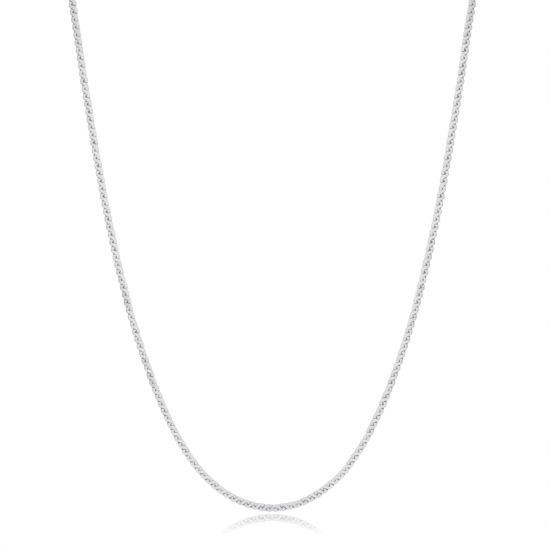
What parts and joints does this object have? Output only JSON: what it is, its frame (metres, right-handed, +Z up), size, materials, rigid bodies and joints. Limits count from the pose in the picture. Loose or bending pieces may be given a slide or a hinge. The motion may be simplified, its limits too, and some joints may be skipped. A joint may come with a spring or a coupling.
{
  "type": "necklace chain",
  "caption": "Flat serpentine neck chain of nested S-shaped silver links in one closed loop, with end caps and a plain ring clasp at the nape.",
  "frame": {"origin": "middle of the ring clasp at the nape, where the worn chain hangs", "axes": "+Z up, -Y towards whoever faces the wearer, +X to the viewer's right"},
  "size_m": [0.1058, 0.0766, 0.1634],
  "materials": {
    "chain_silver": "polished silver, dark in the seams between the links",
    "cap_silver": "polished silver",
    "clasp_silver": "polished silver"
  },
  "bodies": {
    "root": {"chain_left": "chain_silver", "chain_right": "chain_silver", "end_cap_left": "cap_silver", "end_cap_right": "cap_silver", "clasp": "clasp_silver"}
  },
  "joints": []
}
